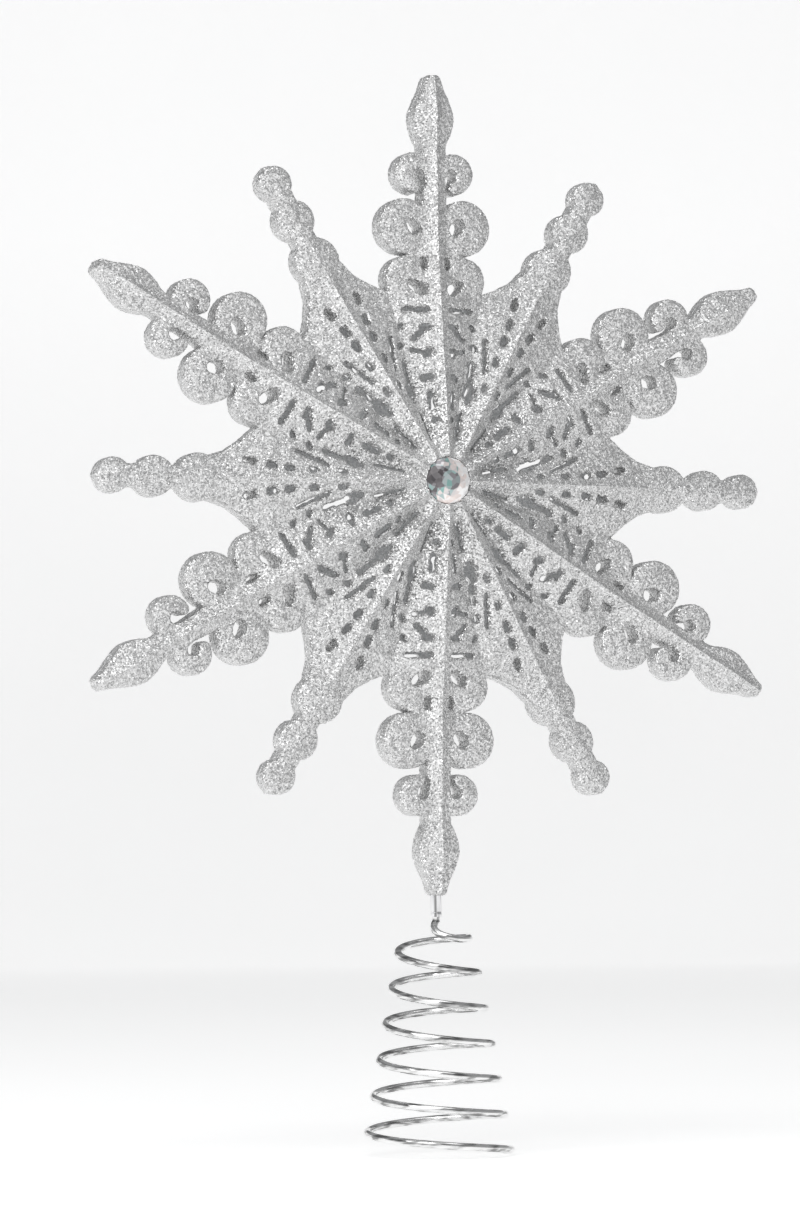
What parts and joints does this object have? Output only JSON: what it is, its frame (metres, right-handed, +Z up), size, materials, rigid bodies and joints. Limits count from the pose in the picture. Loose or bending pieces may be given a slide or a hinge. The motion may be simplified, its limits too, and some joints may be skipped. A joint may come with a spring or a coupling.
{
  "type": "snowflake tree topper",
  "caption": "Openwork snowflake tree topper in silver glitter, with ridged arms, curls and beads, a hub gem, and a conical wire spring that slips over a tree's top shoot.",
  "frame": {"origin": "centre of the spring's open mouth, in the plane of its lowest point, where the tree's top shoot goes in", "axes": "+Z up the spring's axis to the hub and the top finial, -Y out of the front face, +X to the right seen from the front"},
  "size_m": [0.2004, 0.0411, 0.3022],
  "materials": {
    "glitter_shell": "moulded plastic coated all over in fine silver glitter flakes",
    "gem": "clear faceted acrylic with a silvered back",
    "sleeve": "bright plated thin tube",
    "spring": "bright plated round wire"
  },
  "bodies": {
    "tree_spring": {"spring_wire": "spring"},
    "snowflake": {"front_shell": "glitter_shell", "rear_shell": "glitter_shell", "front_gem": "gem", "rear_gem": "gem", "stem_sleeve": "sleeve"}
  },
  "joints": [
    {"name": "spring_sway", "type": "hinge", "parent": "tree_spring", "child": "snowflake", "pos_m": [0, 0, 0.04805], "axis": [0, 1, 0], "range_deg": [-15, 15], "stiffness_Nm_per_rad": 0.6, "deforming": ["spring_wire"]}
  ]
}
